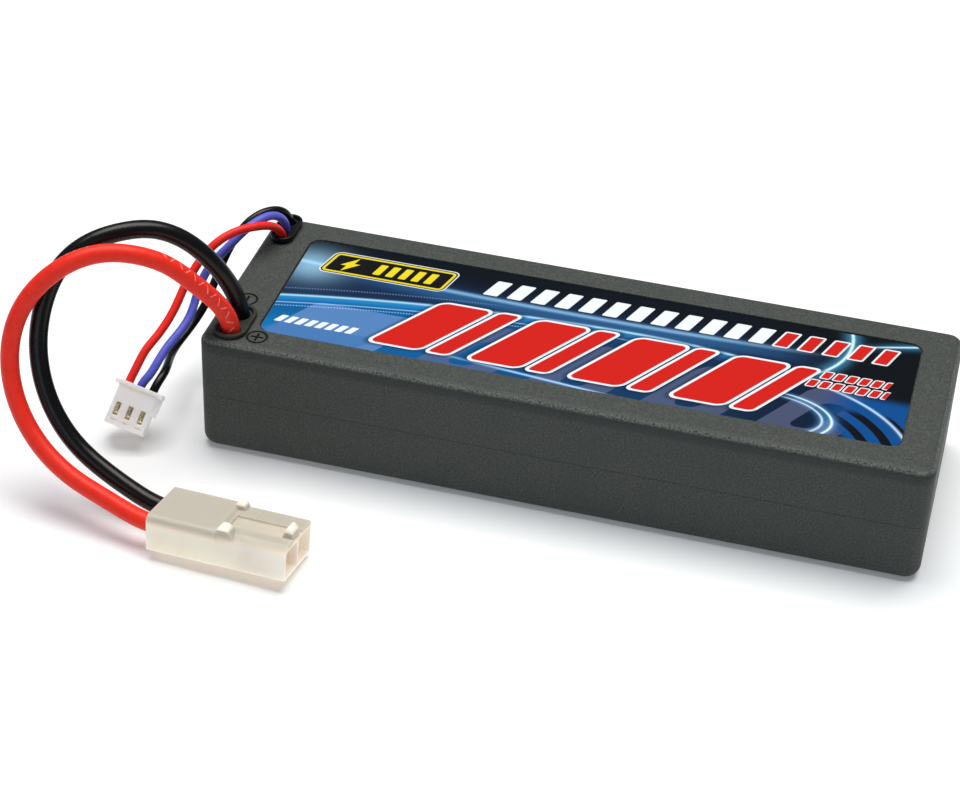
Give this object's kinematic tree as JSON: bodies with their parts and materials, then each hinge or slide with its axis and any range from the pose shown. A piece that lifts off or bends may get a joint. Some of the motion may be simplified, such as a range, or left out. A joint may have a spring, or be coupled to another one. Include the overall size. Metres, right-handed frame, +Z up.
{
  "type": "lipo battery pack",
  "caption": "Hard-case rechargeable battery pack with a recessed top label, a main lead to a nylon plug and a thin balance lead to a small white plug.",
  "frame": {"origin": "centre of the case's base, on the surface it stands on", "axes": "+X along the case, away from the leads; -Y the front side, where the main plug lies; +Z up through the label"},
  "size_m": [0.1703, 0.0841, 0.0471],
  "materials": {
    "case_plastic": "fine-grained moulded plastic, dark grey",
    "label_film": "printed glossy film, blue and black with red bars",
    "grommet_rubber": "black rubber",
    "red_insulation": "smooth silicone insulation, red",
    "black_insulation": "smooth silicone insulation, black",
    "blue_insulation": "smooth silicone insulation, violet blue",
    "ivory_nylon": "translucent ivory nylon",
    "white_nylon": "white nylon",
    "contact_brass": "tinned brass",
    "pouch_foil": "laminated aluminium foil",
    "nickel_tab": "nickel strip",
    "board_laminate": "green circuit board",
    "packing_foam": "soft dark foam",
    "insulating_paper": "insulating paper and tape"
  },
  "bodies": {
    "root": {"lower_shell": "case_plastic", "upper_shell": "case_plastic", "label": "label_film", "main_lead_grommet": "grommet_rubber", "balance_lead_grommet": "grommet_rubber", "lower_cell": "pouch_foil", "upper_cell": "pouch_foil", "lower_cell_minus_tab": "nickel_tab", "lower_cell_plus_tab": "nickel_tab", "upper_cell_minus_tab": "nickel_tab", "upper_cell_plus_tab": "nickel_tab", "solder_board": "board_laminate", "terrace_insulator": "insulating_paper", "cell_tape": "insulating_paper", "floor_foam": "packing_foam", "ceiling_foam": "packing_foam", "end_foam": "packing_foam", "front_foam": "packing_foam", "back_foam": "packing_foam", "main_lead_red": "red_insulation", "main_lead_black": "black_insulation", "main_tail_red": "red_insulation", "main_tail_black": "black_insulation", "balance_lead_red": "red_insulation", "balance_lead_blue": "blue_insulation", "balance_lead_black": "black_insulation", "balance_tail_red": "red_insulation", "balance_tail_blue": "blue_insulation", "balance_tail_black": "black_insulation", "main_plug_housing": "ivory_nylon", "main_contact_red": "contact_brass", "main_contact_black": "contact_brass", "balance_plug_housing": "white_nylon", "balance_contact_red": "contact_brass", "balance_contact_blue": "contact_brass", "balance_contact_black": "contact_brass"}
  },
  "joints": []
}
